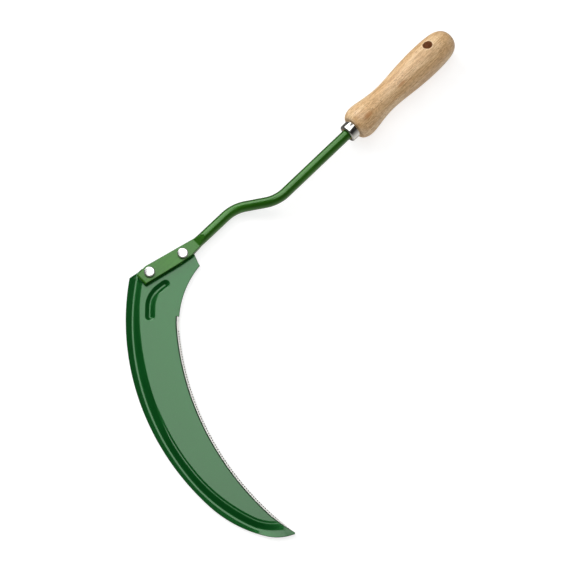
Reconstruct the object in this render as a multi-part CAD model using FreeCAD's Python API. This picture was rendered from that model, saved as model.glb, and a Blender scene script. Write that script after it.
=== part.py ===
import FreeCAD, Part
import math
import os

Vector = FreeCAD.Vector

# Hand sickle lying flat, millimetres and degrees. X runs along the handle towards its butt,
# with X = 0 at the ferrule's front lip, Y = 0 on the handle's axis and Z = 0 on the surface
# that the tool lies on. The last step moves every piece so that the origin is at the
# bottom centre of the whole tool.

# Heights, and how far cutting tools run past the surfaces that they cut
SHEET_THICKNESS = 1.5
BEAD_DEPTH = 2.2
TAB_THICKNESS = 5.2
CLEAR = 1.0
HANDLE_AXIS_HEIGHT = 16.0
SHEET_UNDERSIDE = BEAD_DEPTH
SHEET_TOP = SHEET_UNDERSIDE + SHEET_THICKNESS
TAB_TOP = SHEET_TOP + TAB_THICKNESS
TAB_MIDDLE = SHEET_TOP + TAB_THICKNESS / 2

# Blade: each long edge is a chain of tangent arcs, all turning left, as (radius, turn)
HEEL_CORNER = (-239.6, 46.6)
SPINE_HEADING = 216.6
SPINE_ARCS = ((237.8, 56.1), (113.6, 29.4), (40.1, 37.2))
HEAD_CORNER = (-186.0, 9.1)
HEAD_HEADING = 187.1
HEAD_ARC = (86.0, 43.5)
HEAD_TOP = ((-181.9, 19.5), (-179.0, 27.5), (-220.0, 41.5), (-225.8, 45.3))
TOOTH_PITCH = 2.4
TOOTH_DEPTH = 0.5
BEVEL_WIDTH = 2.6
BEVEL_LEAD = 2.9
EDGE_LAND = 0.4

# Pressed beads in the sheet: a long one beside the spine and a hooked one in the head
SPINE_BEAD_START = (-238.8, 38.4)
SPINE_BEAD_HEADING = 217.0
SPINE_BEAD_ARCS = ((232.0, 47.5), (161.0, 24.6), (47.0, 26.0))
SPINE_BEAD_RUNOUT_BEFORE = 30.0
SPINE_BEAD_HALF_WIDTH = 7.2
HOOK_BEAD_START = (-220.6, 19.2)
HOOK_BEAD_HEADING = 173.8
HOOK_BEAD_ARM = 6.0
HOOK_BEAD_ARC = (22.0, 51.0)
HOOK_BEAD_STEM = 6.5
HOOK_BEAD_HALF_WIDTH = 4.6
HOOK_BEAD_DEPTH = 1.9

# Round bar: tang, two bends of the swan neck, and the flattened riveting tab
BAR_RADIUS = 5.0
NECK_UPPER_BEND = (-93.3, 0.0)
NECK_LOWER_BEND = (-125.0, 25.7)
NECK_BEND_RADIUS = 30.0
FLAT_START = -163.0
TAB_START = -173.5
WEDGE_POINT_GAP = 0.01
TAB_OUTLINE = (
    (TAB_START, 20.9),
    (TAB_START, 31.0),
    (-222.2, 43.1),
    (-234.2, 42.3),
    (-233.9, 30.5),
    (-197.8, 22.3),
    (-184.2, 20.2),
)
TANG_TAPER_START = 10.0
TANG_TAPER_END = 68.0
TANG_SMALL_RADIUS = 2.5
TANG_POINT = 73.0

# Rivets
RIVET_CENTRES = {"heel": (-223.5, 35.8), "neck": (-189.5, 27.1)}
RIVET_SHANK_RADIUS = 2.6
RIVET_HEAD_RADIUS = 5.0
RIVET_HEAD_HEIGHT = 3.2
RIVET_HEAD_ROUND = 1.2
RIVET_BACK_RADIUS = 4.4

# Ferrule
FERRULE_FRONT = -0.6
FERRULE_BACK = 8.8
FERRULE_RADIUS = 9.0
FERRULE_WALL = 0.9
FERRULE_LIP_RADIUS = 6.7
FERRULE_LIP_ROUND = 0.9

# Turned handle: radii along its length, from the ferrule's shoulder to the butt
HANDLE_SPIGOT_START = 0.8
HANDLE_PROFILE = (
    (FERRULE_BACK, 11.0),
    (9.8, 12.9),
    (12.5, 14.75),
    (18.5, 15.97),
    (31.0, 14.65),
    (49.5, 12.75),
    (75.0, 14.35),
    (104.0, 15.95),
    (122.0, 15.3),
    (131.5, 13.6),
    (137.3, 10.4),
    (140.2, 6.2),
    (141.0, 2.4),
    (141.1, 0.0),
)
HANG_HOLE_X = 114.1
HANG_HOLE_RADIUS = 4.75
HANG_HOLE_TILT = 21.0


def direction(degrees):
    angle = math.radians(degrees)
    return Vector(math.cos(angle), math.sin(angle), 0)


def arc_leg(start, heading, leg):
    """A left-turning arc from start: the edge, its end point and its end heading."""
    radius, turn = leg
    centre = start + direction(heading + 90) * radius
    middle = centre - direction(heading + turn / 2 + 90) * radius
    end = centre - direction(heading + turn + 90) * radius
    return Part.Arc(start, middle, end).toShape(), end, heading + turn


def closing_leg(start, heading, end):
    """The left-turning arc that leaves start along heading and ends at end."""
    chord = end - start
    half_turn = (math.degrees(math.atan2(chord.y, chord.x)) - heading) % 360
    return chord.Length / (2 * math.sin(math.radians(half_turn))), 2 * half_turn


def straight_leg(start, heading, length):
    end = start + direction(heading) * length
    return Part.makeLine(start, end), end


def tube(edges, heading, radius):
    """A round bar of the given radius along tangent edges, with ball ends."""
    start = edges[0].Vertexes[0].Point
    end = edges[-1].Vertexes[-1].Point
    section = Part.Wire(Part.makeCircle(radius, start, direction(heading)))
    bar = Part.Wire(edges).makePipeShell([section], True, True)
    return bar.fuse([Part.makeSphere(radius, start), Part.makeSphere(radius, end)])


def bead_radius(half_width, depth):
    """Radius of the round tool that presses a bead of this half width and depth."""
    return (half_width ** 2 + depth ** 2) / (2 * depth)


def spine_bead(clearance):
    """The tool's body along the spine; clearance adds the sheet's thickness below."""
    radius = bead_radius(SPINE_BEAD_HALF_WIDTH, BEAD_DEPTH)
    heading = SPINE_BEAD_HEADING
    start = Vector(*SPINE_BEAD_START, SHEET_TOP - BEAD_DEPTH + radius)
    run_in = start - direction(heading) * SPINE_BEAD_RUNOUT_BEFORE
    edges = [Part.makeLine(run_in, start)]
    for leg in SPINE_BEAD_ARCS:
        edge, start, heading = arc_leg(start, heading, leg)
        edges.append(edge)
    return tube(edges, SPINE_BEAD_HEADING, radius + clearance)


def hook_bead(clearance):
    radius = bead_radius(HOOK_BEAD_HALF_WIDTH, HOOK_BEAD_DEPTH)
    start = Vector(*HOOK_BEAD_START, SHEET_TOP - HOOK_BEAD_DEPTH + radius)
    arm, arm_end = straight_leg(start, HOOK_BEAD_HEADING, HOOK_BEAD_ARM)
    turn, turn_end, heading = arc_leg(arm_end, HOOK_BEAD_HEADING, HOOK_BEAD_ARC)
    stem = straight_leg(turn_end, heading, HOOK_BEAD_STEM)[0]
    return tube([arm, turn, stem], HOOK_BEAD_HEADING, radius + clearance)


def toothed_edge(start, heading, leg):
    """The cutting edge from its heel end: a zigzag of fine teeth along the arc."""
    radius, turn = leg
    centre = start + direction(heading + 90) * radius
    count = round(math.radians(turn) * radius / TOOTH_PITCH)
    points = []
    for index in range(2 * count + 1):
        inset = TOOTH_DEPTH if index % 2 else 0.0
        angle = heading + 90 + turn * index / (2 * count)
        points.append(centre - direction(angle) * (radius + inset))
    return points


def spine_edge(height):
    """The blade's outer edge from the heel to the tip, and the tip itself."""
    edges = []
    point = Vector(*HEEL_CORNER, height)
    heading = SPINE_HEADING
    for leg in SPINE_ARCS:
        edge, point, heading = arc_leg(point, heading, leg)
        edges.append(edge)
    return edges, point


def cutting_leg(height):
    """Start, heading and (radius, turn) of the ground edge, which ends at the tip."""
    head = Vector(*HEAD_CORNER, height)
    start, heading = arc_leg(head, HEAD_HEADING, HEAD_ARC)[1:]
    return start, heading, closing_leg(start, heading, spine_edge(height)[1])


def blade_outline(height):
    edges = spine_edge(height)[0]
    teeth = toothed_edge(*cutting_leg(height))
    for first, second in zip(reversed(teeth), reversed(teeth[:-1])):
        edges.append(Part.makeLine(first, second))
    head = Vector(*HEAD_CORNER, height)
    edges.append(arc_leg(head, HEAD_HEADING, HEAD_ARC)[0])

    corners = [head] + [Vector(*corner, height) for corner in HEAD_TOP]
    corners.append(Vector(*HEEL_CORNER, height))
    for first, second in zip(corners, corners[1:]):
        edges.append(Part.makeLine(first, second))
    return Part.Wire(Part.__sortEdges__(edges))


def bevel_cutter():
    """Ring wedge that grinds the top of the cutting edge to a thin land."""
    start, heading, (radius, turn) = cutting_leg(0)
    centre = start + direction(heading + 90) * radius
    outward = direction(heading - BEVEL_LEAD + 90) * -1
    slope = (SHEET_THICKNESS - EDGE_LAND) / BEVEL_WIDTH
    corners = []
    for inset, height in (
        (-CLEAR, SHEET_UNDERSIDE + EDGE_LAND - slope * CLEAR),
        (BEVEL_WIDTH + CLEAR, SHEET_TOP + slope * CLEAR),
        (-CLEAR, SHEET_TOP + slope * CLEAR),
    ):
        corners.append(centre + outward * (radius + inset) + Vector(0, 0, height))
    wedge = Part.Face(Part.makePolygon(corners + corners[:1]))
    return wedge.revolve(centre, Vector(0, 0, 1), turn + 2 * BEVEL_LEAD)


def rivet_hole(name):
    x, y = RIVET_CENTRES[name]
    return Part.makeCylinder(RIVET_SHANK_RADIUS, TAB_TOP + 2 * CLEAR, Vector(x, y, -CLEAR))


def blade():
    sheet = Part.Face(blade_outline(SHEET_UNDERSIDE)).extrude(Vector(0, 0, SHEET_THICKNESS))
    column = Part.Face(blade_outline(-CLEAR)).extrude(Vector(0, 0, SHEET_TOP + CLEAR))
    backs = [column.common(bead(SHEET_THICKNESS)) for bead in (spine_bead, hook_bead)]
    pressed = sheet.fuse(backs)
    pressed = pressed.cut([spine_bead(0), hook_bead(0), bevel_cutter()])
    return pressed.cut([rivet_hole(name) for name in RIVET_CENTRES])


def neck_path():
    """Centreline of the bar from the tab's fold to the tang, with two equal bends."""
    lower_end = Vector(TAB_START, NECK_LOWER_BEND[1], TAB_MIDDLE)
    lower = Vector(*NECK_LOWER_BEND, TAB_MIDDLE)
    upper = Vector(*NECK_UPPER_BEND, HANDLE_AXIS_HEIGHT)
    upper_end = Vector(TANG_TAPER_START, 0, HANDLE_AXIS_HEIGHT)
    points = [lower_end, lower, upper, upper_end]
    edges = []
    leg_start = lower_end
    for before, corner, after in zip(points, points[1:], points[2:]):
        inward = (before - corner).normalize()
        outward = (after - corner).normalize()
        turn = math.pi - inward.getAngle(outward)
        tangent = NECK_BEND_RADIUS * math.tan(turn / 2)
        bisector = (inward + outward).normalize()
        centre = corner + bisector * (NECK_BEND_RADIUS / math.cos(turn / 2))
        arc_start = corner + inward * tangent
        arc_end = corner + outward * tangent
        arc_middle = centre - bisector * NECK_BEND_RADIUS
        edges.append(Part.makeLine(leg_start, arc_start))
        edges.append(Part.Arc(arc_start, arc_middle, arc_end).toShape())
        leg_start = arc_end
    edges.append(Part.makeLine(leg_start, upper_end))
    return edges


def flat_cutters():
    """Two wedges that pare the bar's end down to the tab's thickness, above and below.

    Their points stay just clear of the bar, so that no sliver is cut there.
    """
    wedges = []
    for side in (1, -1):
        corners = []
        for x, offset in (
            (TAB_START, TAB_THICKNESS / 2),
            (FLAT_START, BAR_RADIUS),
            (TAB_START, BAR_RADIUS + CLEAR),
        ):
            corners.append(Vector(x, 0, TAB_MIDDLE + side * offset))
        corners[1].z += side * WEDGE_POINT_GAP
        profile = Part.Face(Part.makePolygon(corners + corners[:1]))
        wedges.append(profile.extrude(Vector(0, 2 * NECK_LOWER_BEND[1], 0)))
    return wedges


def tang():
    """The tapered point inside the handle, as a solid of revolution on the handle's axis."""
    outline = [
        Vector(TANG_TAPER_START, 0, 0),
        Vector(TANG_TAPER_START, 0, BAR_RADIUS),
        Vector(TANG_TAPER_END, 0, TANG_SMALL_RADIUS),
        Vector(TANG_POINT, 0, 0),
    ]
    profile = Part.Face(Part.makePolygon(outline + outline[:1]))
    solid = profile.revolve(Vector(0, 0, 0), Vector(1, 0, 0), 360)
    solid.translate(Vector(0, 0, HANDLE_AXIS_HEIGHT))
    return solid


def tang_rod():
    path = neck_path()
    section = Part.Wire(Part.makeCircle(BAR_RADIUS, path[0].Vertexes[0].Point, Vector(1, 0, 0)))
    bar = Part.Wire(path).makePipeShell([section], True, True).cut(flat_cutters())
    corners = [Vector(x, y, SHEET_TOP) for x, y in TAB_OUTLINE]
    tab = Part.Face(Part.makePolygon(corners + corners[:1])).extrude(Vector(0, 0, TAB_THICKNESS))
    tab = tab.cut([rivet_hole(name) for name in RIVET_CENTRES])
    return bar.fuse([tab, tang()]).removeSplitter()


def dome(radius, height):
    """Cap of a sphere on z = 0, with the given base radius and height."""
    ball = (radius ** 2 + height ** 2) / (2 * height)
    cap = Part.makeSphere(ball, Vector(0, 0, height - ball))
    block = Part.makeBox(4 * radius, 4 * radius, height + CLEAR, Vector(-2 * radius, -2 * radius, 0))
    return cap.common(block)


def rivet(name):
    x, y = RIVET_CENTRES[name]
    head = Part.makeCylinder(RIVET_HEAD_RADIUS, RIVET_HEAD_HEIGHT)
    rim = [edge for edge in head.Edges if abs(edge.CenterOfMass.z - RIVET_HEAD_HEIGHT) < 0.01]
    head = head.makeFillet(RIVET_HEAD_ROUND, rim)
    head.translate(Vector(x, y, TAB_TOP))
    back = dome(RIVET_BACK_RADIUS, SHEET_UNDERSIDE)
    back.rotate(Vector(0, 0, 0), Vector(1, 0, 0), 180)
    back.translate(Vector(x, y, SHEET_UNDERSIDE))
    shank_length = TAB_TOP - SHEET_UNDERSIDE
    shank = Part.makeCylinder(RIVET_SHANK_RADIUS, shank_length, Vector(x, y, SHEET_UNDERSIDE))
    return shank.fuse([head, back]).removeSplitter()


def on_handle_axis(profile_edges):
    """Turns a closed profile, drawn as x and radius, about the handle's axis."""
    face = Part.Face(Part.Wire(profile_edges))
    solid = face.revolve(Vector(0, 0, 0), Vector(1, 0, 0), 360)
    solid.translate(Vector(0, 0, HANDLE_AXIS_HEIGHT))
    return solid


def closed_lines(points):
    loop = [Vector(x, 0, radius) for x, radius in points + points[:1]]
    return [Part.makeLine(first, second) for first, second in zip(loop, loop[1:])]


def ferrule():
    """Drawn steel cap: a thin tube whose front lip is rolled in towards the bar."""
    inner = FERRULE_RADIUS - FERRULE_WALL
    points = [
        (FERRULE_FRONT, FERRULE_LIP_RADIUS),
        (FERRULE_FRONT, FERRULE_RADIUS),
        (FERRULE_BACK, FERRULE_RADIUS),
        (FERRULE_BACK, inner),
        (HANDLE_SPIGOT_START, inner),
        (HANDLE_SPIGOT_START, FERRULE_LIP_RADIUS),
    ]
    cap = on_handle_axis(closed_lines(points))
    front_edges = [
        edge
        for edge in cap.Edges
        if abs(edge.CenterOfMass.x - FERRULE_FRONT) < 0.01
        and abs(edge.Curve.Radius - FERRULE_RADIUS) < 0.01
    ]
    return cap.makeFillet(FERRULE_LIP_ROUND, front_edges)


def handle():
    spigot_radius = FERRULE_RADIUS - FERRULE_WALL
    surface = Part.BSplineCurve()
    surface.interpolate([Vector(x, 0, radius) for x, radius in HANDLE_PROFILE])
    shoulder = HANDLE_PROFILE[0]
    butt = HANDLE_PROFILE[-1]
    corners = [
        Vector(butt[0], 0, 0),
        Vector(HANDLE_SPIGOT_START, 0, 0),
        Vector(HANDLE_SPIGOT_START, 0, spigot_radius),
        Vector(FERRULE_BACK, 0, spigot_radius),
        Vector(shoulder[0], 0, shoulder[1]),
    ]
    edges = [Part.makeLine(first, second) for first, second in zip(corners, corners[1:])]
    turned = on_handle_axis(edges + [surface.toShape()])

    entry = Part.makeCylinder(
        BAR_RADIUS,
        TANG_TAPER_START,
        Vector(0, 0, HANDLE_AXIS_HEIGHT),
        Vector(1, 0, 0),
    )
    tilt = math.radians(HANG_HOLE_TILT)
    across = Vector(0, math.sin(tilt), math.cos(tilt))
    centre = Vector(HANG_HOLE_X, 0, HANDLE_AXIS_HEIGHT)
    reach = 2 * HANDLE_AXIS_HEIGHT
    hole = Part.makeCylinder(HANG_HOLE_RADIUS, 2 * reach, centre - across * reach, across)
    return turned.cut([entry, tang(), hole])


def main():
    pieces = {
        "blade": blade(),
        "tang_rod": tang_rod(),
        "ferrule": ferrule(),
        "handle": handle(),
    }
    for name in RIVET_CENTRES:
        pieces["rivet_" + name] = rivet(name)

    box = FreeCAD.BoundBox()
    for shape in pieces.values():
        box.add(shape.optimalBoundingBox())
    shift = Vector(-(box.XMin + box.XMax) / 2, -(box.YMin + box.YMax) / 2, -box.ZMin)
    print("origin moved by", shift)

    os.makedirs("parts", exist_ok=True)
    for name, shape in pieces.items():
        shape.translate(shift)
        shape.exportStep("parts/" + name + ".step")
        print(name, len(shape.Solids), "solid,", shape.isValid(), round(shape.Volume, 1), shape.BoundBox)


main()
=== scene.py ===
import math

import bmesh
import bpy
import numpy as np
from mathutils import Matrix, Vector


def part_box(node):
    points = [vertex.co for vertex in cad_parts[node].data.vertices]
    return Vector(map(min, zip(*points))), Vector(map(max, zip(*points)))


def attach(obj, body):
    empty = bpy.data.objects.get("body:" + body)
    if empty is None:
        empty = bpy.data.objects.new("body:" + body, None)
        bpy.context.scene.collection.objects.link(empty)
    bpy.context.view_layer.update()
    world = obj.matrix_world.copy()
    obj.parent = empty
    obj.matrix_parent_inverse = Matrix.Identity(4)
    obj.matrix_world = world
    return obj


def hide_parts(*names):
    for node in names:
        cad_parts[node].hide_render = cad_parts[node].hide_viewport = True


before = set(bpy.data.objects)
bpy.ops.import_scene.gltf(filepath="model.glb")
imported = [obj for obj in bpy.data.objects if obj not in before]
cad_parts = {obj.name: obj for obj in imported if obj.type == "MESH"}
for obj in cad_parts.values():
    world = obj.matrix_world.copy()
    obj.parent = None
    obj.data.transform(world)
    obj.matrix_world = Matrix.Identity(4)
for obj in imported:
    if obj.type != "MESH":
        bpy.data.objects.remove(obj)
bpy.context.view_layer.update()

# Lengths are millimetres in the tool's own frame: X runs along the handle towards its butt,
# X = 0 is near the ferrule's front, Y = 0 is the handle's axis and Z = 0 is the floor.
# to_row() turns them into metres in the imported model's frame.
FERRULE_FRONT = -0.6
AXIS_HEIGHT = 16.0

# Points closer than this, in metres, are one point
WELD_DISTANCE = 2e-6

# Heights of the blade's sheet and of the tab on it
SHEET_THICKNESS = 1.5
SHEET_UNDERSIDE = 2.2
SHEET_TOP = 3.7
TAB_THICKNESS = 5.2
TAB_TOP = 8.9
TAB_MIDDLE = 6.3

# Blade edges: chains of left-turning arcs as (radius, turn)
HEEL_CORNER = (-239.6, 46.6)
SPINE_HEADING = 216.6
SPINE_ARCS = ((237.8, 56.1), (113.6, 29.4), (40.1, 37.2))
HEAD_CORNER = (-186.0, 9.1)
HEAD_HEADING = 187.1
HEAD_ARC = (86.0, 43.5)
HEAD_TOP = ((-225.8, 45.3), (-220.0, 41.5), (-179.0, 27.5), (-181.9, 19.5))
# Where each corner round the head faces the inner edge, as a length from the head corner
HEAD_TOP_FACES = (38.0, 32.0, 6.0, 3.0)
HEEL_FACES = 47.0
SPINE_FACES = 58.0
TOOTH_PITCH = 2.4
TOOTH_DEPTH = 0.5
TOOTH_GROOVE = 0.15
BEVEL_WIDTH = 2.1
BEVEL_LEAD_IN = 13.2
EDGE_LAND = 0.4
PAINT_LIP = 1.2
PAINT_LIP_DROP = 0.4
# Near the tip the bevel and the lip are these shares of the blade's width
BEVEL_SHARE = 0.1
LIP_SHARE = 0.06
EDGE_ROUND = 0.3
STATION_STEP = 1.3
LAST_STATION = 0.97
BLADE_ROWS = 76
BEVEL_ROWS = 5
# The order of the blade's materials; the lip's very dark paint and the gullets' dark colour are painted
# shade
PAINTED, GROUND, GULLET, LIP = range(4)

# Pressed beads. Each rounding is (valley, shoulder), as shares of the half width.
SPINE_BEAD_START = (-238.8, 38.4)
SPINE_BEAD_HEADING = 217.0
SPINE_BEAD_ARCS = ((232.0, 47.5), (161.0, 24.6), (47.0, 38.0))
SPINE_BEAD_RUN_IN = 30.0
SPINE_BEAD_DEPTH = 2.15
SPINE_BEAD_OUTER = 7.3
SPINE_BEAD_INNER_HEEL = 5.3
SPINE_BEAD_INNER = 7.9
SPINE_BEAD_FADE = (260.0, 295.0)
SPINE_BEAD_SHELF = 0.15
SPINE_BEAD_MAIN = 5.6
SPINE_BEAD_STEP = 6.4
SPINE_BEAD_WIDENING = 90.0
SPINE_BEAD_SHELF_START = 110.0
SPINE_BEAD_SHELF_GROWTH = 50.0
OUTER_ROUNDING = (0.24, 0.16)
INNER_ROUNDING = (0.26, 0.2)
SHELF_ROUNDING = (0.4, 0.4)
HOOK_START = (-220.6, 19.2)
HOOK_HEADING = 173.8
HOOK_ARM = 6.6
HOOK_ARC = (22.0, 51.0)
HOOK_STEM = 10.1
HOOK_END_STEEPNESS = 1.5
HOOK_DEPTH = 1.85
HOOK_ARM_HALF_WIDTH = 4.3
HOOK_STEM_HALF_WIDTH = 4.9
HOOK_ROUNDING = (0.28, 0.2)

# Bar and tab
BAR_RADIUS = 5.0
NECK_UPPER_BEND = (-93.3, 0.0)
NECK_LOWER_BEND = (-125.0, 25.7)
NECK_BEND_RADIUS = 30.0
FLAT_START = -163.0
TAB_START = -173.5
TAB_END = -234.1
TAB_LOWER_SIDE = ((-234.1, 30.5), (-197.8, 22.3), (-184.2, 20.2), (-173.5, 20.9), (-166.0, 20.7))
TAB_UPPER_SIDE = ((-234.1, 42.3), (-222.2, 43.1), (-173.5, 31.0), (-166.0, 30.7))
TAB_EDGE_ROUND = 0.55
BAR_END = 8.0

# Rivets
RIVET_CENTRES = {"rivet_heel": (-223.5, 35.8), "rivet_neck": (-189.5, 27.1)}
RIVET_HEAD_RADIUS = 5.0
RIVET_HEAD_HEIGHT = 3.2
RIVET_HEAD_CROWN = 0.2
RIVET_HEAD_ROUND = 1.0
RIVET_BACK_RADIUS = 4.4
RIVET_SHANK_RADIUS = 2.6

# Ferrule
FERRULE_BACK = 8.8
FERRULE_RADIUS = 9.0
FERRULE_BORE = 8.1
FERRULE_LIP = 6.7
FERRULE_FRONT_ROUND = 1.2
FERRULE_LIP_ROUND = 0.5

# Handle as (place along the axis, radius), from the ferrule to the butt
HANDLE_PROFILE = (
    (8.8, 11.0),
    (9.8, 12.9),
    (12.5, 14.75),
    (18.5, 15.97),
    (31.0, 14.65),
    (49.5, 12.75),
    (75.0, 14.35),
    (104.0, 15.95),
    (122.0, 15.3),
    (131.5, 13.6),
    (137.3, 10.4),
    (140.2, 6.2),
    (141.0, 2.4),
    (141.1, 0.0),
)
HOLE_X = 114.1
HOLE_RADIUS = 4.75
HOLE_TILT = 21.0
HOLE_RIM = 0.5
# Marks in the wood as (place, size along each axis, strength)
WOOD_MARKS = (
    ((22.5, -4.6, 30.8), (6.0, 2.6, 5.0), 0.8),
    ((68.0, -4.5, 29.2), (6.0, 1.6, 5.0), 0.8),
)
HANDLE_ROUND_END = 136.0
SPIGOT_FRONT = 0.9
CURVE_SAMPLES = 1200
CURVE_RISING = 1100
HANDLE_SEGMENTS = 72
HOLE_WINDOW_STEPS = 6
HOLE_WINDOW_LENGTH = 18.0

# Camera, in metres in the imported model's frame
CAMERA_TARGET = (-0.0460, 0.0249, 0.0)
CAMERA_AZIMUTH = -45.39
CAMERA_ELEVATION = 73.0
CAMERA_DISTANCE = 1.38
CAMERA_LENS = 93.26

ferrule_low, ferrule_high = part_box("ferrule")
SHIFT = np.array([
    ferrule_low[0] * 1000 - FERRULE_FRONT,
    (ferrule_low[1] + ferrule_high[1]) * 500,
    (ferrule_low[2] + ferrule_high[2]) * 500 - AXIS_HEIGHT,
])


def to_row(points):
    return (np.asarray(points, dtype=float) + SHIFT) / 1000


def direction(degrees):
    angle = math.radians(degrees)
    return np.array([math.cos(angle), math.sin(angle)])


def smooth(value):
    value = np.clip(value, 0, 1)
    return value * value * (3 - 2 * value)


class Arc:
    """A left-turning arc in plan, measured by length from its start."""

    def __init__(self, start, heading, radius, turn):
        self.start = np.asarray(start, dtype=float)
        self.heading = heading
        self.radius = radius
        self.turn = turn
        self.length = radius * math.radians(turn)
        self.centre = self.start + direction(heading + 90) * radius

    def point(self, length):
        angle = self.heading + 90 + math.degrees(length / self.radius)
        return self.centre - direction(angle) * self.radius

    def end(self):
        return self.point(self.length)


class Chain:
    """Tangent arcs one after another."""

    def __init__(self, start, heading, legs):
        self.arcs = []
        for radius, turn in legs:
            arc = Arc(start, heading, radius, turn)
            self.arcs.append(arc)
            start = arc.end()
            heading += turn
        self.length = sum(arc.length for arc in self.arcs)

    def point(self, length):
        for arc in self.arcs[:-1]:
            if length <= arc.length:
                return arc.point(length)
            length -= arc.length
        return self.arcs[-1].point(length)

    def measure(self, points, run_in):
        """Signed distance to the left of the chain, and length along it, for plan points.

        The chain starts with a straight of length run_in, which counts as negative length.
        """
        first = self.arcs[0]
        along = direction(first.heading)
        offset = points - first.start
        lengths = offset @ along
        distances = offset @ direction(first.heading + 90)
        best = np.where((lengths <= 0) & (lengths >= -run_in), np.abs(distances), np.inf)
        passed = 0.0
        for index, arc in enumerate(self.arcs):
            offset = points - arc.centre
            reach = np.hypot(offset[..., 0], offset[..., 1])
            turned = np.degrees(np.arctan2(offset[..., 1], offset[..., 0])) - arc.heading + 90
            turned = (turned + 180) % 360 - 180
            distance = arc.radius - reach
            inside = (turned >= 0) & (turned <= arc.turn) & (np.abs(distance) < best)
            lengths = np.where(inside, passed + np.radians(turned) * arc.radius, lengths)
            distances = np.where(inside, distance, distances)
            best = np.where(inside, np.abs(distance), best)
            passed += arc.length
        return np.where(np.isinf(best), 999.0, distances), lengths


def flank(distance, half_width, valley, shoulder):
    """Depth of a pressed groove, 1 at its middle and 0 from half_width out.

    The slope grows over the first part, valley, stays even, and dies over the last, shoulder.
    """
    t = np.clip(np.abs(distance) / half_width, 0, 1)
    total = 1 - valley / 2 - shoulder / 2
    fallen = np.where(t < valley, t * t / (2 * valley), t - valley / 2)
    late = np.clip(t - (1 - shoulder), 0, None)
    return 1 - (fallen - late * late / (2 * shoulder)) / total


def make_piece(name, node, points, faces, materials, face_materials=None, sharp=40.0):
    """A closed mesh in the tool's frame, welded where points meet, in place of a CAD node."""
    mesh = bpy.data.meshes.new(name)
    mesh.from_pydata([tuple(point) for point in to_row(points)], [], faces)
    for material in materials:
        mesh.materials.append(material)
    if face_materials is not None:
        mesh.polygons.foreach_set("material_index", face_materials)
    work = bmesh.new()
    work.from_mesh(mesh)
    bmesh.ops.remove_doubles(work, verts=work.verts, dist=WELD_DISTANCE)
    bmesh.ops.dissolve_degenerate(work, dist=WELD_DISTANCE, edges=work.edges)
    loose = [point for point in work.verts if not point.link_faces]
    bmesh.ops.delete(work, geom=loose, context="VERTS")
    bmesh.ops.recalc_face_normals(work, faces=work.faces)
    for face in work.faces:
        face.smooth = True
    work.to_mesh(mesh)
    work.free()
    mesh.set_sharp_from_angle(angle=math.radians(sharp))
    piece = bpy.data.objects.new(name, mesh)
    bpy.context.scene.collection.objects.link(piece)
    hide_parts(node)
    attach(piece, "root")


def ring_faces(rings, count, closed_ends=True):
    """Quads between successive rings of count points, with the two ends filled."""
    faces = []
    for ring in range(rings - 1):
        for index in range(count):
            after = (index + 1) % count
            base = ring * count
            faces.append((base + index, base + after, base + count + after, base + count + index))
    if closed_ends:
        faces.append(tuple(range(count)))
        faces.append(tuple((rings - 1) * count + index for index in range(count)))
    return faces


def lathe(profile, segments):
    """Points and faces of a profile, as (along, radius), turned about the along axis.

    A first or last radius of 0 closes that end at a point.
    """
    profile = list(profile)
    poles = []
    if profile[0][1] == 0:
        poles.append(("start", profile.pop(0)[0]))
    if profile[-1][1] == 0:
        poles.append(("end", profile.pop()[0]))
    points = []
    for along, radius in profile:
        for index in range(segments):
            angle = 2 * math.pi * index / segments
            points.append((along, radius * math.cos(angle), radius * math.sin(angle)))
    faces = ring_faces(len(profile), segments, closed_ends=False)
    for end, along in poles:
        base = 0 if end == "start" else (len(profile) - 1) * segments
        pole = len(points)
        points.append((along, 0.0, 0.0))
        for index in range(segments):
            faces.append((base + index, base + (index + 1) % segments, pole))
    if not poles:
        last = (len(profile) - 1) * segments
        for index in range(segments):
            after = (index + 1) % segments
            faces.append((last + index, last + after, after, index))
    return np.array(points), faces


# Blade


def blade_edges():
    spine = Chain(HEEL_CORNER, SPINE_HEADING, SPINE_ARCS)
    head = Arc(HEAD_CORNER, HEAD_HEADING, *HEAD_ARC)
    heading = HEAD_HEADING + HEAD_ARC[1]
    chord = spine.point(spine.length) - head.end()
    half_turn = (math.degrees(math.atan2(chord[1], chord[0])) - heading) % 360
    radius = np.hypot(*chord) / (2 * math.sin(math.radians(half_turn)))
    return spine, head, Arc(head.end(), heading, radius, 2 * half_turn)


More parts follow.
